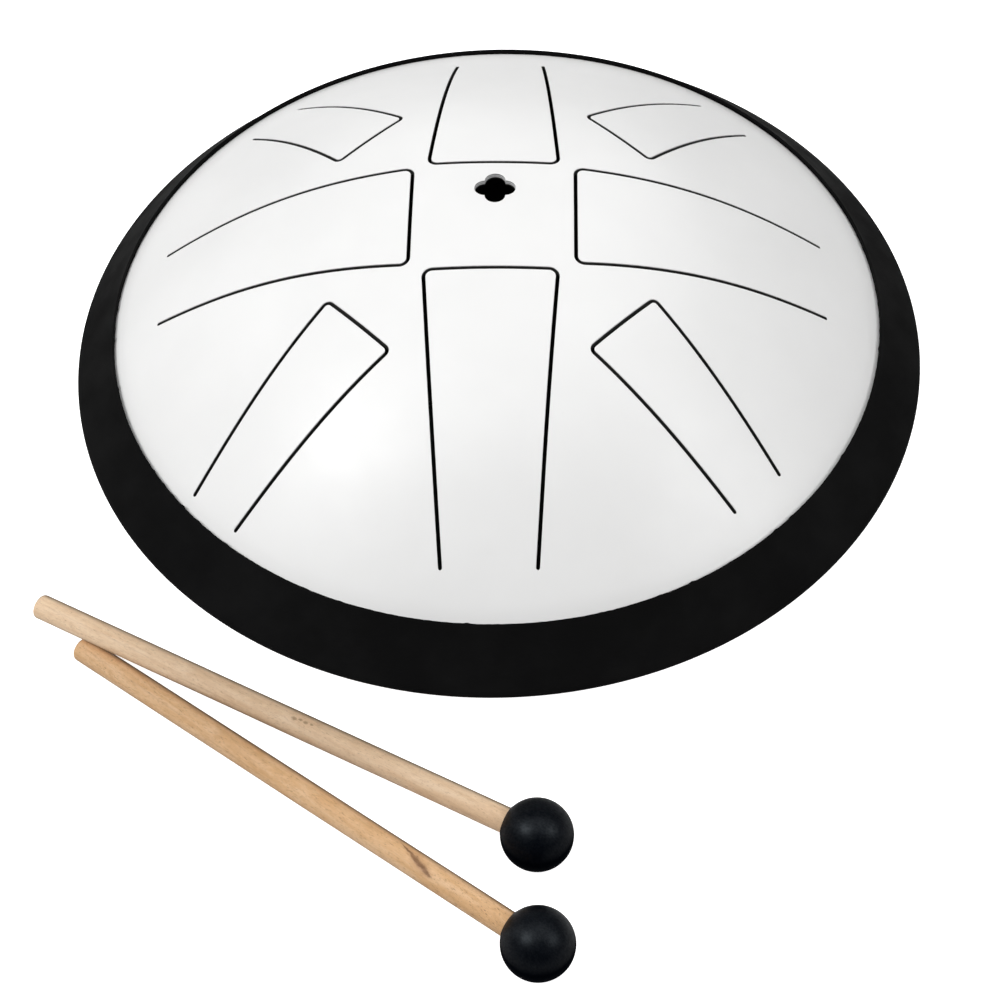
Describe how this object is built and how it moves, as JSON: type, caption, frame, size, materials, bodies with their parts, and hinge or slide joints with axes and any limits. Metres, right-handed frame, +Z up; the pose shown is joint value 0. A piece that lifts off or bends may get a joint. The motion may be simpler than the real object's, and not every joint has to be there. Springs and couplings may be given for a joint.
{
  "type": "steel tongue drum",
  "caption": "Domed steel drum with tuned tongues cut in its top, a black rubber edge and rubber feet, with a pair of ball-headed wooden mallets.",
  "frame": {"origin": "on the drum's axis, at the level of the feet's soles", "axes": "+Z up along the drum's axis; the front tongue lies along -Y and the right tongue along +X"},
  "size_m": [0.2737, 0.3194, 0.117],
  "materials": {
    "white_lacquer": "satin white lacquer with a very fine orange-peel",
    "weld_steel": "ground weld",
    "edge_rubber": "matt black moulded rubber",
    "foot_rubber": "matt black rubber",
    "zinc_steel": "bright zinc plate",
    "beech": "sanded bare beech",
    "ball_rubber": "satin black rubber"
  },
  "bodies": {
    "drum": {"top_shell": "white_lacquer", "bottom_shell": "white_lacquer", "seam_weld": "weld_steel", "rubber_ring": "edge_rubber", "foot_back": "foot_rubber", "foot_left": "foot_rubber", "foot_right": "foot_rubber", "foot_screws": "zinc_steel", "foot_washers": "zinc_steel", "foot_nuts": "zinc_steel"},
    "tongue_front": {"tongue_front": "white_lacquer"},
    "tongue_right": {"tongue_right": "white_lacquer"},
    "tongue_back": {"tongue_back": "white_lacquer"},
    "tongue_left": {"tongue_left": "white_lacquer"},
    "tongue_front_right": {"tongue_front_right": "white_lacquer"},
    "tongue_front_left": {"tongue_front_left": "white_lacquer"},
    "tongue_back_right": {"tongue_back_right": "white_lacquer"},
    "tongue_back_left": {"tongue_back_left": "white_lacquer"},
    "mallet_lower": {"mallet_lower_stick": "beech", "mallet_lower_ball": "ball_rubber"},
    "mallet_upper": {"mallet_upper_stick": "beech", "mallet_upper_ball": "ball_rubber"}
  },
  "joints": [
    {"name": "tongue_front_flex", "type": "hinge", "parent": "drum", "child": "tongue_front", "pos_m": [0, -0.10201, 0.08201], "axis": [1, 0, 0], "range_deg": [-0.5, 0.5], "stiffness_Nm_per_rad": 18.02},
    {"name": "tongue_right_flex", "type": "hinge", "parent": "drum", "child": "tongue_right", "pos_m": [0.09788, 0, 0.08504], "axis": [0, 1, 0], "range_deg": [-0.5, 0.5], "stiffness_Nm_per_rad": 13.96},
    {"name": "tongue_back_flex", "type": "hinge", "parent": "drum", "child": "tongue_back", "pos_m": [0.00061, 0.088, 0.09182], "axis": [-1, 0.007, 0], "range_deg": [-0.5, 0.5], "stiffness_Nm_per_rad": 10.35},
    {"name": "tongue_left_flex", "type": "hinge", "parent": "drum", "child": "tongue_left", "pos_m": [-0.09997, 0, 0.08352], "axis": [0, -1, 0], "range_deg": [-0.5, 0.5], "stiffness_Nm_per_rad": 15.52},
    {"name": "tongue_front_right_flex", "type": "hinge", "parent": "drum", "child": "tongue_front_right", "pos_m": [0.07476, -0.07476, 0.0792], "axis": [0.7071, 0.7071, 0], "range_deg": [-0.5, 0.5], "stiffness_Nm_per_rad": 3.65},
    {"name": "tongue_front_left_flex", "type": "hinge", "parent": "drum", "child": "tongue_front_left", "pos_m": [-0.07821, -0.07821, 0.07543], "axis": [0.7071, -0.7071, 0], "range_deg": [-0.5, 0.5], "stiffness_Nm_per_rad": 4.68},
    {"name": "tongue_back_right_flex", "type": "hinge", "parent": "drum", "child": "tongue_back_right", "pos_m": [0.07143, 0.07143, 0.08274], "axis": [-0.7071, 0.7071, 0], "range_deg": [-0.5, 0.5], "stiffness_Nm_per_rad": 2.81},
    {"name": "tongue_back_left_flex", "type": "hinge", "parent": "drum", "child": "tongue_back_left", "pos_m": [-0.07111, 0.07111, 0.08308], "axis": [-0.7071, -0.7071, 0], "range_deg": [-0.5, 0.5], "stiffness_Nm_per_rad": 2.7},
    {"name": "mallet_pair_lift", "type": "slide", "parent": "drum", "child": "mallet_lower", "axis": [-0.263, -0.51, 0.819], "range_m": [0, 0.2]},
    {"name": "mallet_upper_lift", "type": "slide", "parent": "mallet_lower", "child": "mallet_upper", "axis": [-0.263, -0.51, 0.819], "range_m": [0, 0.2]}
  ]
}
